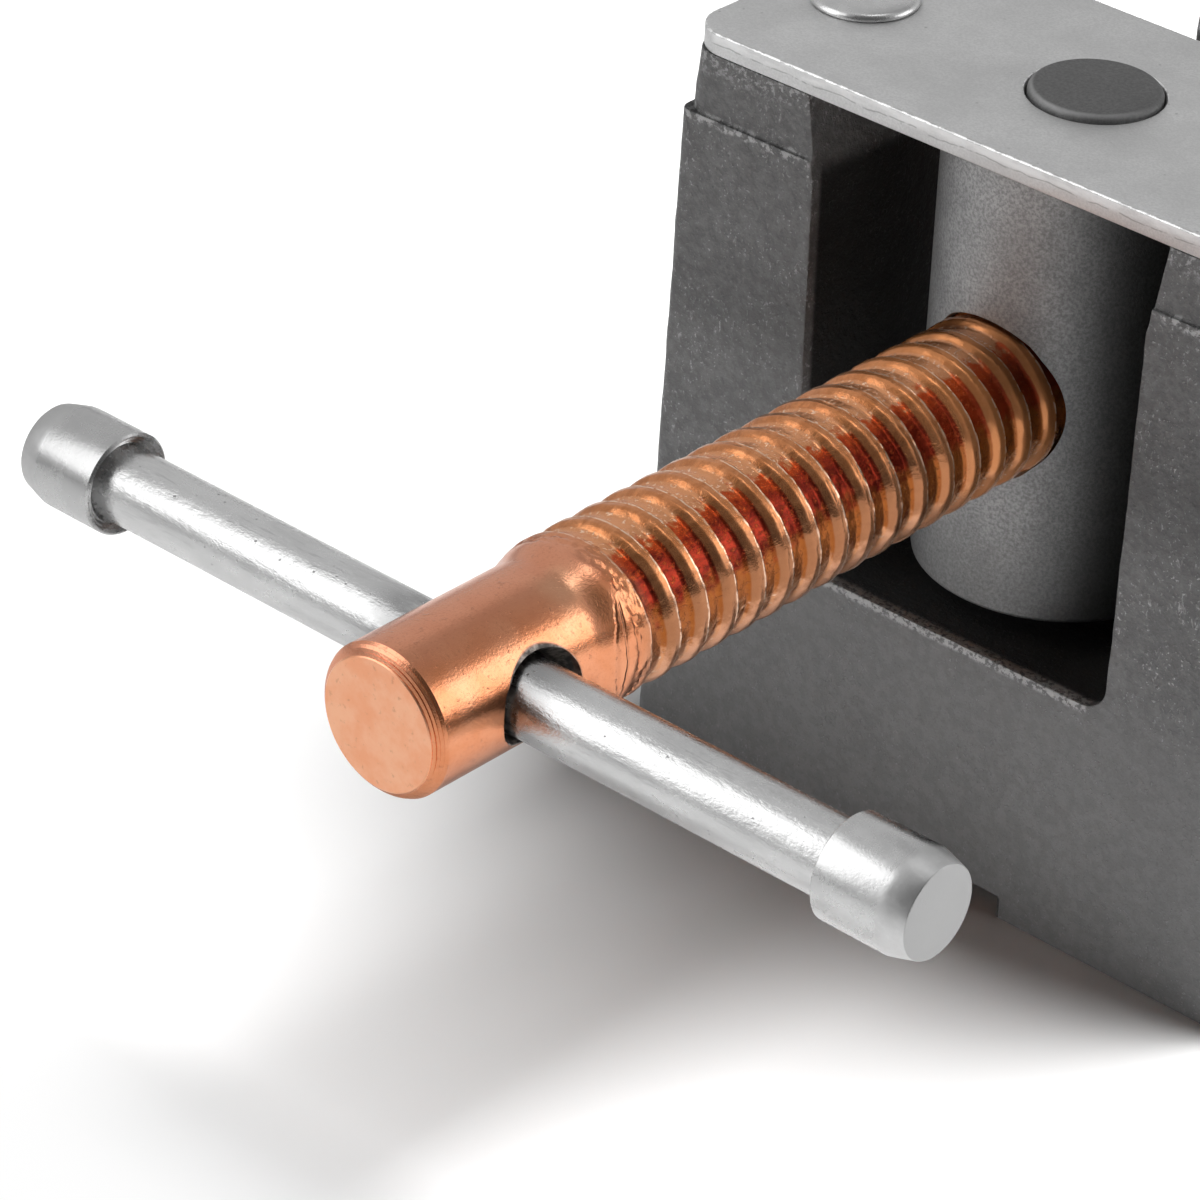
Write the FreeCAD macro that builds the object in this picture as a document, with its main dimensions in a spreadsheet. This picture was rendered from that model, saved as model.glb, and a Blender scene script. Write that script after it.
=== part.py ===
# Angle clamp: a screw clamp that holds two work pieces square to each other.
#
# A cast base carries two upright fences that meet at a right angle. Between them runs a
# loose jaw with a right-angled nose. A screwed spindle with a sliding T-bar pushes it. The
# spindle's nut is a round barrel that turns a little on two journals, one in the base and
# one in a cover plate, so the jaw can meet stock of two thicknesses. The jaw turns on a
# second, smaller barrel at the spindle's tip.
#
# Millimetres. The origin is on the bench, at the centre of the four bench bolts. +X is to
# the right, +Y runs from the handle to the corner of the fences, and +Z is up.

import FreeCAD, Part
import os
import re
import Sketcher

SIZES = {
    # Base deck and its bench bolts
    "deck_height": 16.0,
    "bolt_spacing_x": 116.0,
    "bolt_spacing_y": 118.0,
    "bolt_hole_radius": 5.5,
    "neck_length": 18.0,
    "relief_width": 20.0,
    "relief_height": 2.6,
    # Fences: measured along the face from the corner where the two faces would meet
    "corner_reach": 77.0,
    "fence_start": 14.0,
    "fence_end": 88.0,
    "fence_thick": 15.0,
    "fence_height": 80.0,
    "fence_chamfer": 2.0,
    "weld_hole_radius": 13.0,
    "weld_hole_inset": 4.0,
    "weld_hole_wall": 6.0,
    # Rear lugs and their gussets
    "lug_height": 12.0,
    "lug_half_width": 18.0,
    "lug_end": 14.0,
    "lug_corner_radius": 7.0,
    "gusset_thick": 6.0,
    "gusset_rise": 44.0,
    # Nut housing: two towers, the window between them and a stepped crown
    "nut_setback": 103.0,
    "tower_height": 87.0,
    "tower_base_half": 43.2,
    "tower_neck_half": 40.7,
    "crown_half": 39.8,
    "crown_height": 7.2,
    "crown_depth": 36.0,
    "crown_step": 0.4,
    "tower_round": 1.4,
    "crown_round": 3.0,
    "window_gap": 5.8,
    "window_taper": 0.5,
    "window_flare": 1.5,
    "window_flare_height": 10.0,
    "window_floor": 31.4,
    "window_corner_radius": 3.0,
    "boss_radius": 9.5,
    "boss_height": 3.0,
    "rib_half_spacing": 33.0,
    "rib_thick": 10.0,
    "rib_length": 21.0,
    "rib_rise": 50.0,
    # Clearances
    "running_gap": 0.1,
    "end_gap": 0.2,
    "thread_gap": 0.05,
    "press_gap": 0.02,
    # Nut barrel and its cover plate
    "nut_radius": 15.5,
    "journal_radius": 7.25,
    "journal_depth": 16.0,
    "journal_proud": 0.8,
    "journal_chamfer": 0.6,
    "cover_thick": 2.5,
    "cover_overhang": 0.5,
    "cover_corner_radius": 4.5,
    "cover_screw_offset": 31.0,
    "cover_head_radius": 6.0,
    "cover_head_height": 3.3,
    "cover_shank_radius": 3.0,
    "cover_shank_length": 14.0,
    # Spindle, measured from the nut's axis
    "spindle_height": 59.5,
    "head_radius": 8.0,
    "head_tail": 13.7,
    "head_chamfer": 1.1,
    "head_shank": 8.9,
    "flare_length": 3.2,
    "thread_radius": 9.0,
    "thread_front": 22.0,
    "thread_chamfer": 2.0,
    "neck_radius": 7.0,
    "tip_radius": 5.0,
    "tip_overrun": 3.0,
    "ring_depth": 0.8,
    "ring_thick": 1.3,
    "ring_radius": 6.8,
    "ring_mouth": 6.0,
    # T-bar
    "bar_reach": 91.2,
    "bar_hole_gap": 0.5,
    "bar_sink_radius": 6.0,
    "bar_radius": 4.0,
    "bar_grip_half": 47.15,
    "bar_shift": 1.4,
    "cap_radius": 5.5,
    "cap_length": 10.5,
    "cap_taper": 2.8,
    "cap_disc_radius": 4.75,
    "cap_recess_radius": 4.6,
    "cap_recess_depth": 1.0,
    "cap_end_wall": 2.0,
    # Jaw, measured from its own pivot
    "jaw_reach": 66.0,
    "jaw_lift": 0.3,
    "jaw_top": 77.0,
    "jaw_nose": 42.0,
    "jaw_nose_flat": 10.0,
    "jaw_half_width": 36.0,
    "jaw_rear": 24.0,
    "jaw_rear_half": 17.0,
    "jaw_round": 1.5,
    "slot_gap": 1.3,
    "tip_pocket_half": 8.0,
    "tip_pocket_gap": 4.0,
    # Swivel barrel in the jaw, thrust washer and the jaw's cover plate
    "swivel_radius": 13.0,
    "swivel_floor": 28.0,
    "swivel_flat": 10.0,
    "swivel_gap": 0.25,
    "pivot_radius": 6.0,
    "pivot_depth": 8.0,
    "washer_radius": 9.5,
    "washer_thick": 1.5,
    "jaw_cover_margin": 4.0,
    "jaw_screw_x": 21.5,
    "jaw_screw_y": 4.0,
    "jaw_head_radius": 4.75,
    "jaw_head_height": 2.8,
    "jaw_shank_radius": 2.5,
    "jaw_shank_length": 12.0,
}

# Formulas that several pieces share
ROOT_HALF = "sqrt(0.5)"
NUT_Y = "-nut_setback"
TOWER_DEPTH = "crown_depth + 2 * crown_step"
TOWER_BACK = "crown_depth / 2 + crown_step"
CROWN_BOTTOM = "tower_height - crown_height"
WINDOW_HALF = "nut_radius + window_gap"
BOSS_TOP = "window_floor + boss_height"
COVER_TOP = "tower_height + cover_thick"
NUT_HOLE = "journal_radius + running_gap"
PIVOT_HOLE = "pivot_radius + running_gap"
BENCH_X = "bolt_spacing_x / 2"
BENCH_Y = "bolt_spacing_y / 2"
HEAD_END = "bar_reach + head_tail"
HEAD_FRONT = "bar_reach - head_shank"
JAW_Y = "jaw_reach - nut_setback"
JAW_BOTTOM = "deck_height + jaw_lift"
SHOULDER = "jaw_reach - swivel_flat - washer_thick - 2 * running_gap"
RING_START = "jaw_reach + swivel_flat + running_gap"
TIP_END = f"{RING_START} + ring_thick + tip_overrun"
SLOT_HALF = "washer_radius + slot_gap"

doc = FreeCAD.newDocument("AngleClamp")
sheet = doc.addObject("Spreadsheet::Sheet", "Sizes")
for row, (alias, size) in enumerate(SIZES.items(), start=1):
    sheet.set(f"A{row}", alias)
    sheet.set(f"B{row}", str(size))
    sheet.setAlias(f"B{row}", alias)
doc.recompute()


def expression(formula):
    """Point each size name in a formula at its cell of the sheet."""
    def cell(word):
        return "Sizes." + word[0] if word[0] in SIZES else word[0]
    return re.sub(r"[a-z]\w*", cell, formula)


def bind(thing, prop, formula):
    thing.setExpression(prop, expression(formula))


def number(formula):
    """What a formula comes to with the sheet's present sizes."""
    return float(sheet.evalExpression(expression(formula)))


def new_body(label, x="0", y="0", z="0"):
    """A labelled body whose origin stands at a bound place in the clamp's frame."""
    body = doc.addObject("PartDesign::Body", label)
    body.Label = label
    for axis, place in zip("xyz", (x, y, z)):
        bind(body, "Placement.Base." + axis, place)
    return body


def origin_plane(body, role):
    return next(item for item in body.Origin.OriginFeatures if item.Role == role)


def new_sketch(body, name, role, shift="0"):
    """A sketch on one of the body's own planes, moved along the plane's normal by shift."""
    sketch = body.newObject("Sketcher::SketchObject", name)
    sketch.AttachmentSupport = (origin_plane(body, role), [""])
    sketch.MapMode = "FlatFace"
    bind(sketch, "AttachmentOffset.Base.z", shift)
    return sketch


def pin(sketch, geometry, point, x, y):
    """Bind a point of the sketch to its two coordinates."""
    for kind, place in (("DistanceX", x), ("DistanceY", y)):
        constraint = Sketcher.Constraint(kind, -1, 1, geometry, point, number(place))
        index = sketch.addConstraint(constraint)
        bind(sketch, f"Constraints[{index}]", place)


def polygon(sketch, corners):
    """Close a polygon through the corners, each a pair of formulas."""
    points = [FreeCAD.Vector(number(x), number(y), 0) for x, y in corners]
    first = sketch.GeometryCount
    for start, end in zip(points, points[1:] + points[:1]):
        sketch.addGeometry(Part.LineSegment(start, end), False)
    for step, (x, y) in enumerate(corners):
        line = first + step
        following = first + (step + 1) % len(corners)
        sketch.addConstraint(Sketcher.Constraint("Coincident", line, 2, following, 1))
        pin(sketch, line, 1, x, y)


def circle(sketch, x, y, radius):
    centre = FreeCAD.Vector(number(x), number(y), 0)
    normal = FreeCAD.Vector(0, 0, 1)
    ring = sketch.addGeometry(Part.Circle(centre, normal, number(radius)), False)
    pin(sketch, ring, 3, x, y)
    index = sketch.addConstraint(Sketcher.Constraint("Radius", ring, number(radius)))
    bind(sketch, f"Constraints[{index}]", radius)


def both_sides(right):
    """An outline's right half, from front to rear, followed by its mirror image."""
    left = [(f"-({x})", y) for x, y in reversed(right)]
    return right + left


def extrude(kind, body, sketch, length, side="One side", backwards=False):
    feature = body.newObject(kind, sketch.Name + "_" + kind.split("::")[1].lower())
    feature.Profile = sketch
    feature.SideType = side
    feature.Reversed = backwards
    bind(feature, "Length", length)
    sketch.Visibility = False
    return feature


def pad(body, sketch, length, **options):
    return extrude("PartDesign::Pad", body, sketch, length, **options)


def pocket(body, sketch, depth, **options):
    """Cut the sketch into the body, and make sure that it did cut."""
    doc.recompute()
    before = body.Shape.Volume
    feature = extrude("PartDesign::Pocket", body, sketch, depth, **options)
    doc.recompute()
    if body.Shape.Volume >= before:
        raise RuntimeError(f"{feature.Name} cuts nothing")
    return feature


def turned(body, name, role, axis, corners):
    """Turn a profile about one of the sketch's axes."""
    sketch = new_sketch(body, name, role)
    polygon(sketch, corners)
    feature = body.newObject("PartDesign::Revolution", name + "_turned")
    feature.Profile = sketch
    feature.ReferenceAxis = (sketch, [axis])
    feature.Angle = 360
    sketch.Visibility = False
    return feature


def drill(body, name, top, depth, places, radius):
    """Holes straight down from a height, one at each place."""
    sketch = new_sketch(body, name, "XY_Plane", top)
    for x, y in places:
        circle(sketch, x, y, radius)
    return pocket(body, sketch, depth)


def fillet(body, name, chosen, radius):
    """Round the edges of the body's tip for which chosen(edge) holds."""
    doc.recompute()
    base = body.Tip
    edges = base.Shape.Edges
    names = [f"Edge{n}" for n, edge in enumerate(edges, start=1) if chosen(edge)]
    feature = body.newObject("PartDesign::Fillet", name)
    feature.Base = (base, names)
    bind(feature, "Radius", radius)


def direction(edge):
    """An edge's direction from end to end, or none on a closed or curved edge."""
    if edge.Curve.TypeId != "Part::GeomLine":
        return None
    return (edge.lastVertex().Point - edge.firstVertex().Point).normalize()


def runs_up(edge):
    along = direction(edge)
    return along is not None and abs(along.z) > 0.98


# Clamp body


def fence_sketch(body, name, along):
    """A sketch square to the right-hand fence, at a distance along its face.

    Its x axis points out through the fence from the working face, and its y axis is up.
    """
    sketch = new_sketch(body, name, "XZ_Plane", f"({along}) * {ROOT_HALF} - corner_reach")
    turn = FreeCAD.Rotation(FreeCAD.Vector(0, 1, 0), 45)
    sketch.AttachmentOffset = FreeCAD.Placement(FreeCAD.Vector(), turn)
    bind(sketch, "AttachmentOffset.Base.x", f"({along}) * {ROOT_HALF}")
    return sketch


def add_deck(body):
    """The flat base under the fences, narrowed to the nut housing at the front."""
    fence_x = f"(fence_end + fence_thick) * {ROOT_HALF}"
    fence_y = f"corner_reach - (fence_end - fence_thick) * {ROOT_HALF}"
    back = "corner_reach - weld_hole_inset + weld_hole_radius + weld_hole_wall"
    outer_corner = f"corner_reach + fence_thick / {ROOT_HALF}"
    right = [
        ("crown_half", NUT_Y),
        ("crown_half", f"{NUT_Y} + {TOWER_BACK}"),
        (fence_x, f"{NUT_Y} + {TOWER_BACK} + neck_length"),
        (fence_x, fence_y),
        (f"{outer_corner} - ({back})", back),
    ]
    sketch = new_sketch(body, "deck", "XY_Plane")
    polygon(sketch, both_sides(right))
    pad(body, sketch, "deck_height")


def add_housing(body):
    """The block round the nut, drawn in on its sides and stepped at the crown."""
    lower = new_sketch(body, "tower", "XZ_Plane", "nut_setback")
    polygon(lower, both_sides([("tower_base_half", "0"), ("tower_neck_half", CROWN_BOTTOM)]))
    pad(body, lower, TOWER_DEPTH, side="Symmetric")
    fillet(body, "tower_corners", runs_up, "tower_round")
    upper = new_sketch(body, "crown", "XZ_Plane", "nut_setback")
    crown = [("crown_half", "window_floor"), ("crown_half", "tower_height")]
    polygon(upper, both_sides(crown))
    pad(body, upper, "crown_depth", side="Symmetric")
    crown_base = number(CROWN_BOTTOM)

    def is_crown_corner(edge):
        return runs_up(edge) and edge.CenterOfMass.z > crown_base

    fillet(body, "crown_corners", is_crown_corner, "crown_round")


def cut_window(body):
    """The opening for the spindle and nut: right through, open at the top, wider there."""
    middle = f"{WINDOW_HALF} + window_taper"
    window = new_sketch(body, "window", "XZ_Plane", "nut_setback")
    polygon(window, both_sides([
        (WINDOW_HALF, "window_floor"),
        (middle, "tower_height - window_flare_height"),
        (f"{middle} + window_flare", "tower_height"),
    ]))
    pocket(body, window, TOWER_DEPTH, side="Symmetric")
    floor = number("window_floor")

    def at_floor(edge):
        along = direction(edge)
        level = abs(edge.CenterOfMass.z - floor) < 0.01
        return along is not None and level and abs(along.y) > 0.99

    fillet(body, "window_corners", at_floor, "window_corner_radius")
    boss = new_sketch(body, "boss", "XY_Plane", "deck_height")
    circle(boss, "0", NUT_Y, "boss_radius")
    pad(body, boss, f"{BOSS_TOP} - deck_height")


def add_fences(body):
    """The two fences with their rear lugs and gussets: one side made, then mirrored."""
    arm = fence_sketch(body, "fence", "fence_end")
    polygon(arm, [
        ("0", "0"),
        ("fence_thick", "0"),
        ("fence_thick", "fence_height - fence_chamfer"),
        ("fence_thick - fence_chamfer", "fence_height"),
        ("0", "fence_height"),
    ])
    made = [pad(body, arm, "fence_end - fence_start", backwards=True)]
    lug_along = f"({BENCH_X} + corner_reach - {BENCH_Y}) * {ROOT_HALF}"
    lug_out = f"({BENCH_X} - corner_reach + {BENCH_Y}) * {ROOT_HALF} + lug_end"
    lug = fence_sketch(body, "lug", lug_along)
    inside = "fence_thick / 2"
    polygon(lug, [
        (inside, "0"),
        (lug_out, "0"),
        (lug_out, "lug_height"),
        (inside, "lug_height"),
    ])
    made.append(pad(body, lug, "2 * lug_half_width", side="Symmetric"))
    for sign in ("+", "-"):
        place = f"{lug_along} {sign} (lug_half_width - gusset_thick / 2)"
        gusset = fence_sketch(body, "gusset", place)
        polygon(gusset, [
            (inside, "0"),
            (f"{lug_out} - lug_corner_radius", "0"),
            (f"{lug_out} - lug_corner_radius", "lug_height"),
            ("fence_thick", "lug_height + gusset_rise"),
            (inside, "lug_height + gusset_rise"),
        ])
        made.append(pad(body, gusset, "gusset_thick", side="Symmetric"))
    both = body.newObject("PartDesign::Mirrored", "both_fences")
    both.Originals = made
    both.MirrorPlane = (origin_plane(body, "YZ_Plane"), [""])
    body.Tip = both
    reach = number(f"{BENCH_Y} + {BENCH_X}") + number("lug_end") / number(ROOT_HALF)

    def is_lug_corner(edge):
        centre = edge.CenterOfMass
        return runs_up(edge) and abs(centre.x) + centre.y > reach - 0.01

    fillet(body, "lug_corners", is_lug_corner, "lug_corner_radius")


def add_ribs(body):
    """A rib behind each tower, which carries the push of the nut into the deck."""
    for sign in ("+", "-"):
        rib = new_sketch(body, "rib", "YZ_Plane", f"0 {sign} rib_half_spacing")
        foot = f"{NUT_Y} + {TOWER_BACK}"
        polygon(rib, [
            (NUT_Y, "0"),
            (f"{foot} + rib_length", "0"),
            (f"{foot} + rib_length", "deck_height"),
            (foot, "deck_height + rib_rise"),
            (NUT_Y, "deck_height + rib_rise"),
        ])
        pad(body, rib, "rib_thick", side="Symmetric")


def drill_base(body):
    """Bench holes, weld relief, journal bore, screw holes and the channel underneath."""
    corners = [(f"{sx}{BENCH_X}", f"{sy}{BENCH_Y}") for sx in ("", "-") for sy in ("", "-")]
    drill(body, "bench_holes", "deck_height", "deck_height", corners, "bolt_hole_radius")
    weld = [("0", "corner_reach - weld_hole_inset")]
    drill(body, "weld_relief", "deck_height", "deck_height", weld, "weld_hole_radius")
    depth = "journal_depth + end_gap"
    drill(body, "journal_bore", BOSS_TOP, depth, [("0", NUT_Y)], NUT_HOLE)
    screws = [("cover_screw_offset", NUT_Y), ("-cover_screw_offset", NUT_Y)]
    depth = "cover_shank_length - cover_thick + end_gap"
    radius = "cover_shank_radius + thread_gap"
    drill(body, "screw_holes", "tower_height", depth, screws, radius)
    channel = new_sketch(body, "channel", "XZ_Plane", "nut_setback + crown_depth")
    half = "relief_width / 2"
    polygon(channel, both_sides([(half, "0"), (half, "relief_height")]))
    run = "nut_setback + corner_reach + 2 * crown_depth"
    pocket(body, channel, run)


def clamp_body():
    body = new_body("clamp_body")
    add_housing(body)
    add_deck(body)
    add_ribs(body)
    cut_window(body)
    add_fences(body)
    drill_base(body)
    return body


# Nut barrel, its cover plate and screws


def nut_barrel():
    body = new_body("nut_barrel", y=NUT_Y)
    bottom = f"{BOSS_TOP} + end_gap"
    top = "tower_height - end_gap"
    proud = f"{COVER_TOP} + journal_proud"
    turned(body, "nut_profile", "XZ_Plane", "V_Axis", [
        ("0", f"{BOSS_TOP} - journal_depth"),
        ("journal_radius", f"{BOSS_TOP} - journal_depth"),
        ("journal_radius", bottom),
        ("nut_radius", bottom),
        ("nut_radius", top),
        ("journal_radius", top),
        ("journal_radius", f"{proud} - journal_chamfer"),
        ("journal_radius - journal_chamfer", proud),
        ("0", proud),
    ])
    bore = new_sketch(body, "nut_bore", "XZ_Plane")
    circle(bore, "0", "spindle_height", "thread_radius + thread_gap")
    pocket(body, bore, "2 * nut_radius", side="Symmetric")
    return body


def cover_plate(label, y, z, outline, hole, screws, shank):
    """A flat plate with rounded corners, a journal hole and two screw holes."""
    body = new_body(label, y=y, z=z)
    sketch = new_sketch(body, label + "_outline", "XY_Plane")
    polygon(sketch, outline)
    pad(body, sketch, "cover_thick")
    fillet(body, label + "_corners", runs_up, "cover_corner_radius")
    drill(body, label + "_hole", "cover_thick", "cover_thick", [("0", "0")], hole)
    drill(body, label + "_screws", "cover_thick", "cover_thick", screws, f"{shank} + end_gap")
    return body


def nut_cover_plate():
    half = "crown_half + cover_overhang"
    outline = both_sides([(half, "-crown_depth / 2"), (half, "crown_depth / 2")])
    screws = [("cover_screw_offset", "0"), ("-cover_screw_offset", "0")]
    return cover_plate("nut_cover_plate", NUT_Y, "tower_height", outline, NUT_HOLE, screws,
                       "cover_shank_radius")


def screw(label, x, y, z, sizes):
    """A screw with a low round head, turned about its own axis; z is its seat's height."""
    head_radius, head_height, shank_radius, shank_length = sizes
    body = new_body(label, x=x, y=y, z=z)
    turned(body, label + "_profile", "XZ_Plane", "V_Axis", [
        ("0", f"-{shank_length}"),
        (shank_radius, f"-{shank_length}"),
        (shank_radius, "0"),
        (head_radius, "0"),
        (head_radius, head_height),
        ("0", head_height),
    ])
    return body


def nut_cover_screws():
    sizes = ("cover_head_radius", "cover_head_height", "cover_shank_radius",
             "cover_shank_length")
    return [screw(f"nut_cover_screw_{side}", f"{sign}cover_screw_offset", NUT_Y, COVER_TOP,
                  sizes)
            for side, sign in (("left", "-"), ("right", ""))]


# Spindle and T-bar


def spindle():
    """The screwed spindle: its crests' envelope, head, neck and grooved tip."""
    body = new_body("spindle", y=NUT_Y, z="spindle_height")
    groove = "tip_radius - ring_depth"
    ring_end = f"{RING_START} + ring_thick + 2 * press_gap"
    turned(body, "spindle_profile", "XY_Plane", "V_Axis", [
        ("0", f"-({HEAD_END})"),
        ("head_radius - head_chamfer", f"-({HEAD_END})"),
        ("head_radius", f"-({HEAD_END}) + head_chamfer"),
        ("head_radius", f"-({HEAD_FRONT})"),
        ("thread_radius", f"-({HEAD_FRONT}) + flare_length"),
        ("thread_radius", "thread_front - thread_chamfer"),
        ("neck_radius", "thread_front"),
        ("neck_radius", SHOULDER),
        ("tip_radius", SHOULDER),
        ("tip_radius", RING_START),
        (groove, RING_START),
        (groove, ring_end),
        ("tip_radius", ring_end),
        ("tip_radius", TIP_END),
        ("0", TIP_END),
    ])
    hole = new_sketch(body, "bar_hole", "YZ_Plane")
    circle(hole, "-bar_reach", "0", "bar_radius + bar_hole_gap")
    pocket(body, hole, "2 * head_radius", side="Symmetric")
    for side, sign in (("right", ""), ("left", "-")):
        sink = body.newObject("PartDesign::SubtractiveCone", f"bar_sink_{side}")
        wide = "bar_sink_radius"
        narrow = "bar_radius + bar_hole_gap"
        bind(sink, "Radius1", narrow)
        bind(sink, "Radius2", wide)
        bind(sink, "Height", f"{wide} - ({narrow})")
        turn = 90 if side == "right" else -90
        rotation = FreeCAD.Rotation(FreeCAD.Vector(0, 1, 0), turn)
        sink.Placement = FreeCAD.Placement(FreeCAD.Vector(), rotation)
        start = f"{sign}(head_radius - {wide} + {narrow})"
        bind(sink, "Placement.Base.x", start)
        bind(sink, "Placement.Base.y", "-bar_reach")
    return body


def spindle_retaining_ring():
    """A sprung ring, open at the top, in the groove of the spindle's tip."""
    body = new_body("spindle_retaining_ring", y=NUT_Y, z="spindle_height")
    inner = "tip_radius - ring_depth + press_gap"
    start = f"{RING_START} + press_gap"
    end = f"{start} + ring_thick"
    turned(body, "ring_profile", "XY_Plane", "V_Axis", [
        (inner, start),
        ("ring_radius", start),
        ("ring_radius", end),
        (inner, end),
    ])
    mouth = new_sketch(body, "ring_mouth", "XY_Plane", "ring_radius")
    half = "ring_mouth / 2"
    polygon(mouth, both_sides([(half, f"{start} - ring_thick"), (half, f"{end} + ring_thick")]))
    pocket(body, mouth, "ring_radius")
    return body


BAR_X = "-bar_shift"
BAR_Y = "-nut_setback - bar_reach"


def tommy_bar():
    body = new_body("tommy_bar", x=BAR_X, y=BAR_Y, z="spindle_height")
    half = "bar_grip_half + cap_length - cap_end_wall - press_gap"
    turned(body, "bar_profile", "XY_Plane", "H_Axis", [
        (f"-({half})", "0"),
        (f"-({half})", "bar_radius"),
        (half, "bar_radius"),
        (half, "0"),
    ])
    return body


def bar_caps():
    """The two end caps, pressed on the bar, each with a shallow recess round the bar."""
    return [bar_cap("tommy_bar_cap_right", ""), bar_cap("tommy_bar_cap_left", "-")]


def bar_cap(label, sign):
    body = new_body(label, x=BAR_X, y=BAR_Y, z="spindle_height")
    inner = "bar_grip_half"
    outer = "bar_grip_half + cap_length"
    socket = "bar_radius + press_gap"
    corners = [
        (f"{inner} + cap_recess_depth", socket),
        (f"{inner} + cap_recess_depth", "cap_recess_radius"),
        (inner, "cap_recess_radius"),
        (inner, "cap_radius"),
        (f"{outer} - cap_taper", "cap_radius"),
        (outer, "cap_disc_radius"),
        (outer, "0"),
        (f"{outer} - cap_end_wall", "0"),
        (f"{outer} - cap_end_wall", socket),
    ]
    turned(body, label + "_profile", "XY_Plane", "H_Axis",
           [(f"{sign}({x})", radius) for x, radius in corners])
    return body


# Jaw


def movable_jaw():
    """The jaw: a right-angled nose, and a well for the swivel barrel, open at the top."""
    body = new_body("movable_jaw", y=JAW_Y, z=JAW_BOTTOM)
    sketch = new_sketch(body, "jaw_outline", "XY_Plane")
    polygon(sketch, both_sides([
        ("jaw_rear_half", "-jaw_rear"),
        ("jaw_half_width", "jaw_nose - jaw_half_width"),
        ("jaw_nose_flat", "jaw_nose - jaw_nose_flat"),
    ]))
    height = f"jaw_top - ({JAW_BOTTOM})"
    pad(body, sketch, height)
    fillet(body, "jaw_corners", runs_up, "jaw_round")
    centre = [("0", "0")]
    well = "jaw_top - swivel_floor"
    drill(body, "well", height, well, centre, "swivel_radius + swivel_gap")
    drill(body, "pivot_bore", f"swivel_floor - ({JAW_BOTTOM})", "pivot_depth + end_gap",
          centre, PIVOT_HOLE)
    slot = new_sketch(body, "slot", "XY_Plane", height)
    polygon(slot, both_sides([(SLOT_HALF, "-jaw_rear - jaw_round"), (SLOT_HALF, "0")]))
    pocket(body, slot, f"jaw_top - spindle_height + {SLOT_HALF}")
    tip = new_sketch(body, "tip_pocket", "XY_Plane", height)
    reach = f"{TIP_END} - jaw_reach + tip_pocket_gap"
    polygon(tip, both_sides([("tip_pocket_half", "0"), ("tip_pocket_half", reach)]))
    pocket(body, tip, "jaw_top - spindle_height + tip_pocket_half")
    screws = [("jaw_screw_x", "jaw_screw_y"), ("-jaw_screw_x", "jaw_screw_y")]
    drill(body, "jaw_screw_holes", height, "jaw_shank_length - cover_thick + end_gap", screws,
          "jaw_shank_radius + thread_gap")
    return body


def swivel_barrel():
    """The barrel at the spindle's tip, with a flat on each side for washer and ring."""
    body = new_body("swivel_barrel", y=JAW_Y)
    bottom = "swivel_floor + end_gap"
    top = "jaw_top - end_gap"
    proud = "jaw_top + cover_thick + journal_proud"
    turned(body, "swivel_profile", "XZ_Plane", "V_Axis", [
        ("0", "swivel_floor - pivot_depth"),
        ("pivot_radius", "swivel_floor - pivot_depth"),
        ("pivot_radius", bottom),
        ("swivel_radius", bottom),
        ("swivel_radius", top),
        ("pivot_radius", top),
        ("pivot_radius", f"{proud} - journal_chamfer"),
        ("pivot_radius - journal_chamfer", proud),
        ("0", proud),
    ])
    bore = new_sketch(body, "tip_bore", "XZ_Plane")
    circle(bore, "0", "spindle_height", "tip_radius + running_gap")
    pocket(body, bore, "2 * swivel_radius", side="Symmetric")
    low = "spindle_height - washer_radius - end_gap"
    high = "spindle_height + washer_radius + end_gap"
    for name, shift, backwards in (("rear_flat", "swivel_radius", False),
                                   ("front_flat", "-swivel_radius", True)):
        flat = new_sketch(body, name, "XZ_Plane", shift)
        polygon(flat, both_sides([("swivel_radius", low), ("swivel_radius", high)]))
        pocket(body, flat, "swivel_radius - swivel_flat", backwards=backwards)
    return body


def thrust_washer():
    body = new_body("thrust_washer", y=JAW_Y, z="spindle_height")
    inner = "tip_radius + running_gap"
    front = "-swivel_flat - press_gap"
    rear = f"{front} - washer_thick"
    turned(body, "washer_profile", "XY_Plane", "V_Axis", [
        (inner, rear),
        ("washer_radius", rear),
        ("washer_radius", front),
        (inner, front),
    ])
    return body


def jaw_cover_plate():
    """The jaw's cover plate, set in from the nose faces."""
    line = f"jaw_nose - jaw_cover_margin / {ROOT_HALF}"
    widest = "jaw_nose - jaw_half_width"
    foremost = f"{TIP_END} - jaw_reach + tip_pocket_gap + jaw_round"
    outline = both_sides([
        ("jaw_rear_half", "-swivel_radius"),
        (f"{line} - ({widest})", widest),
        (f"{line} - ({foremost})", foremost),
    ])
    screws = [("jaw_screw_x", "jaw_screw_y"), ("-jaw_screw_x", "jaw_screw_y")]
    return cover_plate("jaw_cover_plate", JAW_Y, "jaw_top", outline, PIVOT_HOLE, screws,
                       "jaw_shank_radius")


def jaw_cover_screws():
    sizes = ("jaw_head_radius", "jaw_head_height", "jaw_shank_radius", "jaw_shank_length")
    return [screw(f"jaw_cover_screw_{side}", f"{sign}jaw_screw_x", f"{JAW_Y} + jaw_screw_y",
                  "jaw_top + cover_thick", sizes)
            for side, sign in (("left", "-"), ("right", ""))]


def build():
    single = (clamp_body, nut_barrel, nut_cover_plate, spindle, spindle_retaining_ring,
              tommy_bar, movable_jaw, swivel_barrel, thrust_washer, jaw_cover_plate)
    pieces = [make() for make in single]
    for make in (nut_cover_screws, bar_caps, jaw_cover_screws):
        pieces += make()
    doc.recompute()
    return pieces


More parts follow.
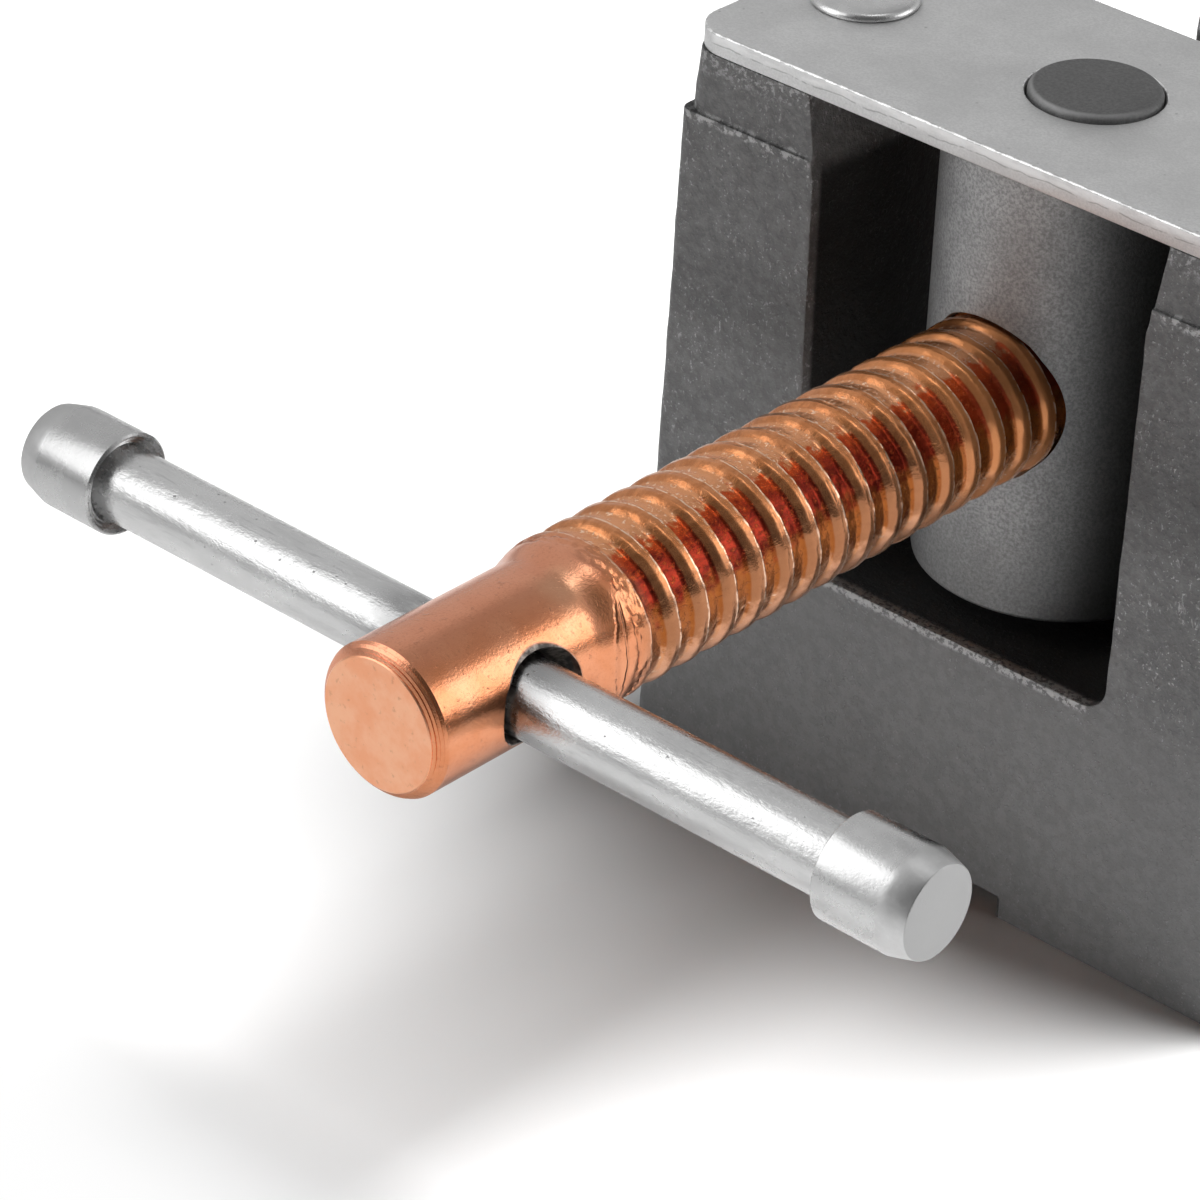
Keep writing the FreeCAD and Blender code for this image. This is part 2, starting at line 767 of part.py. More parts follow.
def check(pieces):
    """Stop before anything is written if a feature failed or a solid is unsound."""
    failed = [item.Name for item in doc.Objects
              if "Invalid" in item.State or "Error" in item.State]
    if failed:
        raise RuntimeError("failed: " + ", ".join(failed))
    for piece in pieces:
        shape = piece.Shape
        if shape.isNull() or not shape.isValid() or len(shape.Solids) != 1:
            raise RuntimeError(piece.Label + " is not one sound solid")


def export(pieces):
    os.makedirs("parts", exist_ok=True)
    for piece in pieces:
        piece.Shape.exportStep(f"parts/{piece.Label}.step")
        box = piece.Shape.BoundBox
        print(f"{piece.Label}: {piece.Shape.Volume:.0f} mm3, "
              f"x {box.XMin:.1f} {box.XMax:.1f}, y {box.YMin:.1f} {box.YMax:.1f}, "
              f"z {box.ZMin:.1f} {box.ZMax:.1f}")


clamp = build()
check(clamp)
export(clamp)
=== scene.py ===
import math

import bmesh
import bpy
from mathutils import Matrix, Vector, noise


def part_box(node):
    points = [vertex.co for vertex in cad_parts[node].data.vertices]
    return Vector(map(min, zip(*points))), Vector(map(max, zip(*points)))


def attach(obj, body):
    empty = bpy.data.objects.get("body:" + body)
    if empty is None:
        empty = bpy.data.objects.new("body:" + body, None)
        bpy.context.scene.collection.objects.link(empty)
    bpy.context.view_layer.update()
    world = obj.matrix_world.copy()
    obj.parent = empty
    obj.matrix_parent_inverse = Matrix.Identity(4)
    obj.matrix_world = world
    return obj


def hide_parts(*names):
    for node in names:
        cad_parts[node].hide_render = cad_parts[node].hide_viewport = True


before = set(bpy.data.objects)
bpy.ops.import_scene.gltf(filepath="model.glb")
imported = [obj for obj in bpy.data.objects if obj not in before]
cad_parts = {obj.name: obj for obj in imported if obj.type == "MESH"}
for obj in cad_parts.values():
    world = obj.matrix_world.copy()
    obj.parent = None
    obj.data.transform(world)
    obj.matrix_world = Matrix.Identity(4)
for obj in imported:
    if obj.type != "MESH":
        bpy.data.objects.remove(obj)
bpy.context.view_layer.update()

# Lengths are in millimetres, and become metres when a piece is placed
MM = 0.001
NUT_Y = -103.0       # the nut barrel's upright axis
AXIS_Z = 59.5        # the spindle's axis
BAR_Y = -194.2       # the T-bar's axis
BAR_X = -1.4         # the middle of the T-bar
BAR_HALF = 57.6      # from there to the end of a cap
FRONT_Y = -121.0     # the front of the housing and of its cover sheet
SHEET_LOW = 87.0     # the underside of that sheet
SILL_Z = 31.0        # the foot of the housing's window
HEAD_END_Y = -207.9  # the spindle's end at the handle

# The spindle's rolled thread
PITCH = 4.17
THREAD_START = -79.3
THREAD_END = 22.0
THREAD_DEPTH = 0.70
THREAD_PHASE = 0.25

# The worn mouth of the T-bar's hole lies this far towards the nut
SINK_ASIDE = 0.6


class Signal:
    """A value inside a finish. Sums and products of signals add the nodes that work them out."""

    def __init__(self, finish, socket):
        self.finish = finish
        self.socket = socket

    def maths(self, operation, *values):
        return self.finish.node("ShaderNodeMath", {"operation": operation}, dict(enumerate(values)))

    def __add__(self, other):
        return self.maths("ADD", self, other)

    def __sub__(self, other):
        return self.maths("SUBTRACT", self, other)

    def __rsub__(self, other):
        return self.maths("SUBTRACT", other, self)

    def __mul__(self, other):
        return self.maths("MULTIPLY", self, other)

    def __truediv__(self, other):
        return self.maths("DIVIDE", self, other)

    def __abs__(self):
        return self.maths("ABSOLUTE", self)

    __radd__ = __add__
    __rmul__ = __mul__

    def rise(self, low, high):
        """0 below low, 1 above high, and a soft step between. It falls where low is above high."""
        return self.finish.node("ShaderNodeMapRange", {"interpolation_type": "SMOOTHSTEP"},
                                {"Value": self, "From Min": low, "From Max": high})

    def near(self, centre, half_width):
        """1 at the centre, and 0 from half_width away."""
        return abs(self - centre).rise(half_width, 0.0)


class Recipe:
    """A node tree that starts empty."""

    def __init__(self, owner):
        owner.use_nodes = True
        self.tree = owner.node_tree
        self.tree.nodes.clear()

    def node(self, kind, settings=None, inputs=None, output=0):
        made = self.tree.nodes.new(kind)
        for key, value in (settings or {}).items():
            if key == "stops":
                ramp = made.color_ramp
                while len(ramp.elements) < len(value):
                    ramp.elements.new(1.0)
                for element, (position, colour) in zip(ramp.elements, value):
                    element.position = position
                    element.color = colour
            else:
                setattr(made, key, value)
        for key, value in (inputs or {}).items():
            if isinstance(value, Signal):
                self.tree.links.new(value.socket, made.inputs[key])
            else:
                made.inputs[key].default_value = value
        return Signal(self, made.outputs[output])

    def span(self, across, along):
        """Length of the slope over two signals at right angles."""
        return self.node("ShaderNodeMath", {"operation": "SQRT"},
                         {0: across * across + along * along})

    def mix(self, amount, first, second):
        """The first colour at 0, and the second at 1."""
        return self.node("ShaderNodeMix", {"data_type": "RGBA"},
                         {0: amount, 6: first, 7: second}, 2)

    def finish_with(self, shader, kind="ShaderNodeOutputMaterial"):
        out = self.tree.nodes.new(kind)
        self.tree.links.new(shader.socket, out.inputs["Surface"])


class Finish(Recipe):
    """A procedural material on object coordinates, in millimetres."""

    def __init__(self, name):
        self.material = bpy.data.materials.new(name)
        super().__init__(self.material)
        metres = self.node("ShaderNodeTexCoord", output="Object")
        self.place = self.node("ShaderNodeVectorMath", {"operation": "SCALE"},
                               {0: metres, "Scale": 1000.0})
        split = self.node("ShaderNodeSeparateXYZ", inputs={0: self.place}).socket.node
        self.x, self.y, self.z = (Signal(self, socket) for socket in split.outputs)

    def noise(self, size, detail=3.0, roughness=0.55, stretch=(1, 1, 1), warp=0.0,
              turn=(0, 0, 0)):
        """Cloudy noise from 0 to 1 whose lumps are about size millimetres across."""
        turned = [math.radians(angle) for angle in turn]
        along = self.node("ShaderNodeMapping", {}, {"Vector": self.place, "Scale": stretch,
                                                    "Rotation": turned})
        return self.node("ShaderNodeTexNoise", {"noise_dimensions": "3D"},
                         {"Vector": along, "Scale": 1.0 / size, "Detail": detail,
                          "Roughness": roughness, "Distortion": warp})

    def cells(self, size, stretch=(1, 1, 1)):
        """Distance to the nearest of many scattered points, in units of their spacing."""
        along = self.node("ShaderNodeMapping", {}, {"Vector": self.place, "Scale": stretch})
        return self.node("ShaderNodeTexVoronoi", {"feature": "F1"},
                         {"Vector": along, "Scale": 1.0 / size}, "Distance")

    def surface(self, colour, roughness, metallic, relief=None, height=0.02, **fixed):
        """Join the signals to the shader. Relief is in units of height millimetres."""
        inputs = {"Base Color": colour, "Roughness": roughness, "Metallic": metallic}
        inputs.update({key.replace("_", " "): value for key, value in fixed.items()})
        if relief is not None:
            inputs["Normal"] = self.node("ShaderNodeBump", {},
                                         {"Height": relief, "Strength": 1.0,
                                          "Distance": height * MM}, "Normal")
        self.finish_with(self.node("ShaderNodeBsdfPrincipled", {}, inputs))
        return self.material


def grey(level, warmth=0.0):
    return (level * (1 + warmth), level, level * (1 - warmth), 1.0)


def cast_paint():
    """Satin dark grey paint over sand-cast iron, with grit that catches the light.

    It is worn to the iron on the crowns, just under the sheet and on the sill, and these pale marks
    are partly painted highlight. Painted shade makes it near black inside the window and in the
    channel under the foot, and darker towards the right of the front; painted light makes the lower
    front paler.
    """
    f = Finish("cast_iron_paint")
    lumps = f.noise(9.0, 4.0, 0.6)
    sand = f.noise(0.5, 3.0, 0.6)
    fine = f.noise(0.22, 2.0, 0.6)
    pebble = f.noise(1.3, 3.0, 0.6)
    patch = f.noise(5.0, 3.0, 0.6)
    front = f.y.rise(FRONT_Y + 1.5, FRONT_Y + 0.4)
    high = f.z.rise(26.0, 40.0)
    grit = f.noise(0.42, 2.0, 0.5).rise(0.56, 0.72) * (0.35 + 0.65 * patch.rise(0.40, 0.60))
    brushed = f.noise(0.50, 3.0, 0.6, (1.0, 1.0, 0.4), 0.6, (0, 40, 0)).rise(0.56, 0.72)
    streak = brushed * patch.rise(0.44, 0.60) * high
    crown_edge = f.z.near(79.4 + f.noise(2.2) * 2.0 - 1.0, 1.1) * front
    crown_edge = crown_edge * f.noise(1.2, 4.0, 0.7).rise(0.42, 0.60) * abs(f.x).rise(21.0, 24.0)
    under_plate = f.z.rise(SHEET_LOW - 4.5, SHEET_LOW - 0.4) * front
    under_plate = under_plate * f.noise(0.7, 4.0, 0.7).rise(0.48, 0.60)
    sill = f.z.near(SILL_Z, 1.1) * f.y.rise(FRONT_Y + 2.4, FRONT_Y + 0.8)
    sill = sill * abs(f.x).rise(19.6, 18.6)
    sill = sill * f.noise(0.6, 4.0, 0.7).rise(0.40, 0.54)
    # Paler on the crown step, just under the sheet and on the sill: partly paint worn to the iron,
    # partly painted highlight where these edges catch the light.
    wear_and_glint = (crown_edge + under_plate * 0.6 + sill).rise(0.05, 0.80)
    # Painted shade: the channel under the foot and the inside of the window are made near black.
    under = f.z.rise(2.7, 2.5) * abs(f.x).rise(10.4, 10.2)
    window_shade = f.y.rise(FRONT_Y + 0.4, FRONT_Y + 1.6) * f.y.rise(-85.0, -87.0)
    window_shade = window_shade * abs(f.x).rise(22.4, 21.8) * f.z.rise(SILL_Z - 0.8, SILL_Z)
    tone = f.mix(lumps.rise(0.3, 0.7), grey(0.125), grey(0.148))
    # Painted light: the lower front is made paler, lifting the shade that falls there.
    painted_light_low = f.z.rise(45.0, 15.0) * f.y.rise(FRONT_Y + 2.0, FRONT_Y + 0.5)
    tone = f.mix(painted_light_low * 0.6, tone, grey(0.23))
    # Painted shade: the front is darker towards its right side.
    tone = f.mix(f.x.rise(18.0, 36.0) * front * 0.3, tone, grey(0.06))
    tone = f.mix(sand.rise(0.35, 0.75) * 0.4, tone, grey(0.20))
    tone = f.mix(fine.rise(0.55, 0.80) * 0.4, tone, grey(0.05))
    tone = f.mix((grit * (0.45 + 0.55 * high) + streak * 0.8).rise(0.0, 1.2), tone, grey(0.44))
    tone = f.mix(pebble.rise(0.62, 0.38) * (0.25 + 0.35 * high), tone, grey(0.085))
    tone = f.mix(wear_and_glint * 0.7, tone, grey(0.50))
    # Painted shade: near black inside the window and in the channel under the foot.
    tone = f.mix((window_shade + under).rise(0.0, 1.0) * 0.97, tone, grey(0.005))
    rough = 0.5 + lumps * 0.1 - grit * 0.18 - wear_and_glint * 0.1 + window_shade * 0.25
    relief = sand * 0.45 + fine * 0.2 + (grit + streak) * 0.45 + lumps * 0.8
    relief = relief + pebble * (0.5 + high * 1.8) + wear_and_glint * 0.3
    return f.surface(tone, rough, 0.0, relief, 0.17, Specular_IOR_Level=0.5)


def zinc_sheet():
    """Matt zinc plate with a fine even grain, and a cracked front edge with a painted highlight
    along its top.
    """
    f = Finish("zinc_plated_sheet")
    grain = f.noise(0.28, 3.0, 0.65)
    cloud = f.noise(7.0, 3.0, 0.6)
    pit = f.cells(1.6).rise(0.14, 0.05) * f.noise(3.0).rise(0.5, 0.62)
    tone = f.mix(cloud.rise(0.3, 0.7), grey(0.71), grey(0.79))
    tone = f.mix(grain.rise(0.3, 0.7) * 0.5, tone, grey(0.59))
    tone = f.mix(pit * 0.5, tone, grey(0.30))
    edge = f.y.rise(FRONT_Y + 0.2, FRONT_Y)
    patchy = f.noise(1.5, 3.0, 0.6, (0.3, 1.0, 1.0)).rise(0.35, 0.6)
    # Painted highlight: a pale band along the top of the front edge.
    lit = f.z.rise(SHEET_LOW + 1.0, SHEET_LOW + 1.7) * edge
    tone = f.mix(lit * (0.35 + 0.5 * patchy), tone, grey(0.97))
    crack = f.z.near(SHEET_LOW + 0.7 + f.noise(5.0) * 1.2, 0.13) * f.noise(2.2).rise(0.40, 0.52)
    tone = f.mix(crack * 0.5 * edge, tone, grey(0.2))
    rough = 0.5 + grain * 0.12
    return f.surface(tone, rough, 1.0, grain - pit * 0.8, 0.02)


def sheared_edge():
    """The bright burr that the shears leave along the edge of the sheet."""
    f = Finish("zinc_sheared_edge")
    nick = f.noise(0.7, 4.0, 0.7, (0.6, 1.0, 1.0))
    tone = f.mix(nick.rise(0.42, 0.56), grey(0.55), grey(0.97))
    return f.surface(tone, 0.3 + nick * 0.15, 1.0, nick, 0.05)


def zinc_bright():
    """Bright zinc on drawn bar, with streaks along it, small pits, and painted shade near the
    spindle.
    """
    f = Finish("zinc_plated_bar")
    streak = f.noise(0.45, 3.0, 0.6, (0.12, 1.0, 1.0))
    cloud = f.noise(2.6, 4.0, 0.65, (0.4, 1.0, 1.0))
    fine = f.noise(0.22, 2.0, 0.6, (0.4, 1.0, 1.0))
    mottle = f.noise(0.7, 4.0, 0.7, (0.6, 1.0, 1.0))
    pit = f.cells(1.3).rise(0.16, 0.04) * f.noise(2.0).rise(0.52, 0.6)
    tone = f.mix(cloud.rise(0.3, 0.7), grey(0.66), grey(0.75))
    tone = f.mix(streak.rise(0.55, 0.75) * 0.35, tone, grey(0.42))
    tone = f.mix(mottle.rise(0.55, 0.70) * 0.30, tone, grey(0.85))
    tone = f.mix(pit * 0.7, tone, grey(0.22))
    # Painted shade: the bar is darker where it runs into the spindle.
    spindle_shade = abs(f.x).rise(15.0, 8.0) * cloud.rise(0.25, 0.55)
    tone = f.mix(spindle_shade * 0.75, tone, grey(0.28))
    rough = 0.16 + cloud * 0.10 + mottle * 0.10
    relief = streak * 0.5 + fine * 0.4 + cloud * 0.8 + mottle * 1.3 - pit
    return f.surface(tone, rough, 1.0, relief, 0.045)


def zinc_caps():
    """Bright zinc on the turned caps and the screws, smoother than the bar."""
    f = Finish("zinc_plated_caps")
    cloud = f.noise(2.2, 4.0, 0.65)
    fine = f.noise(0.25, 2.0, 0.6)
    mottle = f.noise(0.8, 4.0, 0.7)
    tone = f.mix(cloud.rise(0.3, 0.7), grey(0.62), grey(0.70))
    tone = f.mix(mottle.rise(0.55, 0.72) * 0.25, tone, grey(0.84))
    outward = abs(f.x - BAR_X)
    tone = f.mix(outward.rise(BAR_HALF - 0.1, BAR_HALF + 0.02) * 0.9, tone, grey(0.42))
    # Painted shade: the left cap is darker than the right one.
    tone = f.mix(f.x.rise(-46.0, -48.0) * 0.4, tone, grey(0.42))
    taper = outward.rise(BAR_HALF - 3.0, BAR_HALF - 2.0)
    rough = 0.19 + cloud * 0.10 + mottle * 0.06 + taper * 0.16
    return f.surface(tone, rough, 1.0, fine * 0.3 + cloud * 0.8 + mottle * 0.6, 0.03)


def dark_steel():
    """Oiled dark steel with the fine marks of the lathe, with painted shade low down and on the +x
    side, and a painted highlight on one side of the journal's rim.
    """
    f = Finish("dark_turned_steel")
    grain = f.noise(0.36, 3.0, 0.75)
    turned = f.noise(0.35, 2.0, 0.5, (0.05, 0.05, 1.0))
    cloud = f.noise(5.0, 3.0)
    across = f.y - NUT_Y
    # Painted highlight: a pale rim round the top of the upper journal, on its -y side only.
    rim_glint = f.span(f.x, across).near(6.75, 0.4) * f.z.rise(89.5, 89.9) * across.rise(1.0, -5.0)
    tone = f.mix(cloud.rise(0.3, 0.7), grey(0.45), grey(0.54))
    # Painted shade: darker towards the bottom, deep in the window.
    tone = f.mix(f.z.rise(50.0, 36.0) * 0.45, tone, grey(0.20))
    tone = f.mix(grain.rise(0.32, 0.68) * 0.7, tone, grey(0.22))
    # Painted shade: darker on the +x side, below the cover sheet.
    tone = f.mix(f.x.rise(3.0, 13.0) * f.z.rise(87.0, 86.0) * 0.82, tone, grey(0.06))
    tone = f.mix(f.z.rise(88.6, 89.8) * 0.75, tone, grey(0.13))
    tone = f.mix(rim_glint * 0.7, tone, grey(0.42))
    rough = 0.54 + grain * 0.16
    return f.surface(tone, rough, 1.0, grain + turned * 0.5, 0.035)


def spring_steel():
    """Plain spring steel with a faint grain."""
    f = Finish("spring_steel")
    grain = f.noise(0.4, 3.0)
    tone = f.mix(grain.rise(0.3, 0.7), grey(0.26), grey(0.34))
    return f.surface(tone, 0.35 + grain * 0.12, 1.0, grain, 0.01)


def copper_plate():
    """Copper on the spindle: salmon end, orange head, tan thread crests and deep red roots, with
    painted light and shade that change with the angle round the axis.
    """
    f = Finish("copper_plate")
    height = f.node("ShaderNodeAttribute", {"attribute_name": "thread_height"}, None, "Fac")
    threaded = f.node("ShaderNodeAttribute", {"attribute_name": "threaded"}, None, "Fac")
    upward = f.z - AXIS_Z
    around = f.node("ShaderNodeMath", {"operation": "ARCTAN2"}, {0: f.x, 1: upward})
    around = around + (f.noise(2.0, 3.0) - 0.5) * 0.35
    cloud = f.noise(4.0, 4.0, 0.6)
    grain = f.noise(0.3, 3.0, 0.65)
    smear = f.noise(0.9, 3.0, 0.6, (1.0, 0.35, 1.0), 0.5)
    speck = f.noise(0.42, 3.0, 0.7, (1.0, 0.7, 1.0)).rise(0.55, 0.66)
    dirt = f.noise(0.8, 3.0, 0.6).rise(0.60, 0.72)
    end = f.y.rise(HEAD_END_Y + 0.3, HEAD_END_Y + 0.1)
    plain = f.mix(cloud.rise(0.3, 0.7), (0.78, 0.29, 0.135, 1), (0.86, 0.37, 0.20, 1))
    # Painted light: the head is paler and pinker over the top and towards -x.
    plain = f.mix(around.rise(0.75, 0.0) * 0.6, plain, (0.84, 0.38, 0.25, 1))
    plain = f.mix(grain.rise(0.5, 0.8) * 0.5, plain, (0.54, 0.20, 0.10, 1))
    plain = f.mix(end, plain, f.mix(cloud.rise(0.35, 0.65), (0.95, 0.42, 0.235, 1),
                                    (0.99, 0.52, 0.32, 1)))
    plain = f.mix(dirt * 0.3, plain, (0.42, 0.17, 0.10, 1))
    zone = around + (f.noise(1.1, 3.0, 0.6) - 0.5) * 0.7
    crest = f.mix(smear.rise(0.3, 0.7), (0.54, 0.20, 0.075, 1), (0.70, 0.29, 0.125, 1))
    # Painted shade and light: the crests turn dark brown from about 0.75 rad round from the top
    # towards +x, and pale salmon again low on that side, beyond about 1.7 rad.
    crest = f.mix(zone.rise(0.75, 1.15) * 0.8, crest, (0.36, 0.155, 0.075, 1))
    crest = f.mix(zone.rise(1.7, 2.05) * 0.75, crest, (0.86, 0.44, 0.26, 1))
    # Painted light: the crests and the roots are lighter and oranger near the housing, where its
    # shade falls.
    inner = f.y.rise(-142.0, -124.0)
    crest = f.mix(inner * 0.6, crest, (0.78, 0.30, 0.10, 1))
    root = f.mix(speck, (0.76, 0.34, 0.16, 1), (0.97, 0.64, 0.45, 1))
    # The roots are red oxide, partly real patina in the hollows and partly painted shade: the dark
    # brown and the deep red lie only on the side from near the top round to below +x, and the red
    # is lighter towards the top.
    brown = zone.rise(0.25, 0.60) * zone.rise(1.95, 1.72)
    root = f.mix(brown * 0.95, root, f.mix(smear, (0.26, 0.065, 0.008, 1), (0.42, 0.12, 0.02, 1)))
    red = zone.rise(0.28, 0.48) * zone.rise(1.40, 1.05)
    deep = f.mix(smear.rise(0.3, 0.7), (0.13, 0.010, 0.005, 1), (0.32, 0.030, 0.012, 1))
    deep = f.mix((zone.rise(0.75, 0.40) + inner * 0.5) * 0.8, deep,
                 (0.66, 0.095, 0.02, 1))
    root = f.mix(red, root, f.mix(speck * 0.3, deep, (0.60, 0.14, 0.03, 1)))
    cut = f.mix(height.rise(0.22, 0.42), root, crest)
    glint = f.y.near(-186.5, 4.0) * around.near(0.45, 0.5)
    plain = f.mix(glint * 0.55, plain, (0.96, 0.55, 0.34, 1))
    # Painted highlight: pale lines along the lips of the thread.
    lip = height.rise(1.0, 1.05) * f.noise(0.7, 3.0, 0.6).rise(0.38, 0.52)
    cut = f.mix(lip * 0.9, cut, (0.98, 0.70, 0.52, 1))
    tone = f.mix(threaded, plain, cut)
    arc = (around - 1.48) * 1.45
    sway = f.noise(3.0, 2.0)
    fold = f.y.near(arc * arc * 1.6 - 184.4 + sway * 0.7, 0.34)
    fold = fold + f.y.near(arc * arc * 0.8 - 183.4 + sway * 0.9, 0.24)
    fold = fold * around.rise(0.80, 1.1) * around.rise(2.15, 1.8)
    tone = f.mix(fold * 0.22, tone, (0.40, 0.16, 0.09, 1))
    soot = f.span(f.y - BAR_Y, upward).rise(5.05, 4.6)
    soot = soot + f.span(f.y - (BAR_Y + SINK_ASIDE), upward).rise(5.45, 5.0)
    soot = soot.rise(0.0, 1.0) * (0.75 + f.noise(0.5, 3.0) * 0.5).rise(0.0, 1.0)
    worn = f.mix(f.noise(0.9, 4.0, 0.7, (0.5, 1.0, 1.0)).rise(0.40, 0.70), (0.045, 0.04, 0.037, 1),
                 (0.34, 0.30, 0.27, 1))
    tone = f.mix(soot, tone, worn)
    rough = 0.13 + grain * 0.10 + smear * 0.05 + soot * 0.30 + end * 0.10
    pitted = speck * threaded * height.rise(0.45, 0.20)
    relief = grain * 0.6 + smear * 0.6 + dirt * 0.4 + pitted * 0.7 - fold * 2.5
    metal = 1.0 - threaded * (0.10 + 0.26 * inner) - soot * 0.5
    return f.surface(tone, rough, metal, relief, 0.035)


def floor_paper():
    """White paper, greyer in reflections so that they keep their tone, and plain white far off and
    past the handle, where painted light hides the shadow of the bar and the spindle.
    """
    f = Finish("floor_paper")
    glossy = f.node("ShaderNodeLightPath", {}, None, "Is Glossy Ray")
    seen = f.node("ShaderNodeLightPath", {}, None, "Is Camera Ray")
    paper = f.node("ShaderNodeBsdfDiffuse", {}, {"Color": f.mix(glossy, grey(0.93), grey(0.61))})
    reach = f.node("ShaderNodeVectorMath", {"operation": "LENGTH"}, {0: f.place}, "Value")
    white = f.node("ShaderNodeEmission", {}, {"Color": grey(1.0)})
    # Painted light: the floor past the handle is plain white to the camera, which wipes out the
    # shadow of the bar and the spindle there.
    painted_white_past_handle = f.y.rise(-185.0, -230.0) * 0.95
    away = (reach.rise(380.0, 800.0) + painted_white_past_handle).rise(0.0, 1.0)
    f.finish_with(f.node("ShaderNodeMixShader", {}, {0: seen * away, 1: paper, 2: white}))
    return f.material


finishes = {
    "body_paint": cast_paint(),
    "zinc_plate": zinc_sheet(),
    "zinc_edge": sheared_edge(),
    "zinc_bright": zinc_bright(),
    "zinc_caps": zinc_caps(),
    "dark_steel": dark_steel(),
    "copper": copper_plate(),
    "spring_steel": spring_steel(),
}


def as_object(name, bm, *materials, smooth=35.0):
    """Put a finished bmesh, already in metres and in its place, into the scene."""
    mesh = bpy.data.meshes.new(name)
    bm.to_mesh(mesh)
    bm.free()
    for face in mesh.polygons:
        face.use_smooth = True
    mesh.set_sharp_from_angle(angle=math.radians(smooth))
    for material in materials:
        mesh.materials.append(material)
    piece = bpy.data.objects.new(name, mesh)
    bpy.context.scene.collection.objects.link(piece)
    return piece


def stand_for(piece, node, body):
    """The piece moves with the body and stands for the CAD node, which is hidden."""
    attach(piece, body)
    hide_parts(node)
    return piece


def lathe(profile, steps=96):
    """Turn (radius, height) pairs round the upright axis. Ends on the axis are closed."""
    bm = bmesh.new()
    points = [bm.verts.new((radius, 0.0, height)) for radius, height in profile]
    lines = [bm.edges.new(pair) for pair in zip(points, points[1:])]
    bmesh.ops.spin(bm, geom=points + lines, cent=(0, 0, 0), axis=(0, 0, 1), dvec=(0, 0, 0),
                   angle=math.tau, steps=steps, use_merge=True)
    bmesh.ops.remove_doubles(bm, verts=bm.verts, dist=1e-4)
    bmesh.ops.recalc_face_normals(bm, faces=bm.faces)
    return bm


def soften(bm, width, segments=2, angle=25.0, where=None):
    """Bevel the edges that turn by more than the angle."""
    sharp = [edge for edge in bm.edges
             if len(edge.link_faces) == 2
             and edge.calc_face_angle() > math.radians(angle)
             and (where is None or where((edge.verts[0].co + edge.verts[1].co) / 2))]
    return bmesh.ops.bevel(bm, geom=sharp, offset=width, offset_type="OFFSET",
                           segments=segments, profile=0.5, affect="EDGES",
                           clamp_overlap=True, material=-1)["faces"]


def put(bm, x, y, z, turn=None):
    """Scale to metres, turn, and move to a place given in millimetres."""
    matrix = Matrix.Translation(Vector((x, y, z)) * MM) @ Matrix.Scale(MM, 4)
    if turn is not None:
        matrix = matrix @ turn
    bmesh.ops.transform(bm, matrix=matrix, verts=bm.verts)
    return bm


def carve(piece, cutter):
    """Cut one closed shape out of another and keep the result as plain mesh."""
    tool = as_object("cutter", cutter)
    cut = piece.modifiers.new("cut", "BOOLEAN")
    cut.operation = "DIFFERENCE"
    cut.solver = "EXACT"
    cut.object = tool
    graph = bpy.context.evaluated_depsgraph_get()
    mesh = bpy.data.meshes.new_from_object(piece.evaluated_get(graph))
    piece.modifiers.clear()
    piece.data = mesh
    mesh.set_sharp_from_angle(angle=math.radians(35.0))
    bpy.data.objects.remove(tool)


UP_TO_Y = Matrix.Rotation(math.radians(-90.0), 4, "X")
UP_TO_X = Matrix.Rotation(math.radians(90.0), 4, "Y")
UP_TO_MINUS_X = Matrix.Rotation(math.radians(-90.0), 4, "Y")


def copy_of(node):
    """The CAD node's skin as one closed bmesh, in millimetres, with flat faces in one piece."""
    bm = bmesh.new()
    bm.from_mesh(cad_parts[node].data)
    bmesh.ops.scale(bm, vec=(1000, 1000, 1000), verts=bm.verts)
    bmesh.ops.remove_doubles(bm, verts=bm.verts, dist=0.001)
    bmesh.ops.dissolve_limit(bm, angle_limit=math.radians(0.5), verts=bm.verts, edges=bm.edges,
                             use_dissolve_boundaries=False)
    bmesh.ops.recalc_face_normals(bm, faces=bm.faces)
    for face in bm.faces:
        face.material_index = 0
    return bm


def score(bm, inside, low, high, step):
    """Cut part of the skin with a grid of planes, so that its surface can be moved finely."""
    part = [face for face in bm.faces if inside(face.calc_center_median())]
    geometry = list({item for face in part for item in (*face.verts, *face.edges)}) + part
    for axis in range(3):
        normal = Vector((axis == 0, axis == 1, axis == 2))
        for count in range(1, int((high[axis] - low[axis]) / step)):
            at = normal * (low[axis] + count * step + 0.013)
            geometry = bmesh.ops.bisect_plane(bm, geom=geometry, dist=0.02, plane_co=at,
                                              plane_no=normal)["geom"]


def lumpy(bm, depth, size, skip):
    """Press the skin in by noise, as sand moulds leave it, except where it seats on something."""
    bm.normal_update()
    for vert in bm.verts:
        if skip(vert.co):
            continue
        wave = noise.fractal(vert.co / size, 0.8, 2.1, 3)
        vert.co -= vert.normal * depth * min(1.0, max(0.0, 0.5 + 0.6 * wave))


def make_castings():
    """The base and the jaw: soft edges, and sand-cast skin on the housing near the handle."""
    body = copy_of("clamp_body")
    soften(body, 0.5, 2, 40.0)
    score(body, lambda p: p.y < -84.0, (-45, -122, 0), (45, -84, 88), 1.5)
    lumpy(body, 0.14, 3.2, lambda p: p.z > 86.9 or p.z < 0.1)
    for vert in body.verts:
        if vert.co.z > 79.75 and abs(vert.co.x) > 36.0 and vert.co.y < -84.0:
            vert.co.x += math.copysign(0.11 * (87.0 - min(87.0, vert.co.z)), vert.co.x)
    put(body, 0, 0, 0)
    piece = as_object("cast_body", body, finishes["body_paint"])
    stand_for(piece, "clamp_body", "base")

    jaw = copy_of("movable_jaw")
    soften(jaw, 0.5, 2, 40.0)
    put(jaw, 0, 0, 0)
    piece = as_object("cast_jaw", jaw, finishes["body_paint"])
    stand_for(piece, "movable_jaw", "jaw")


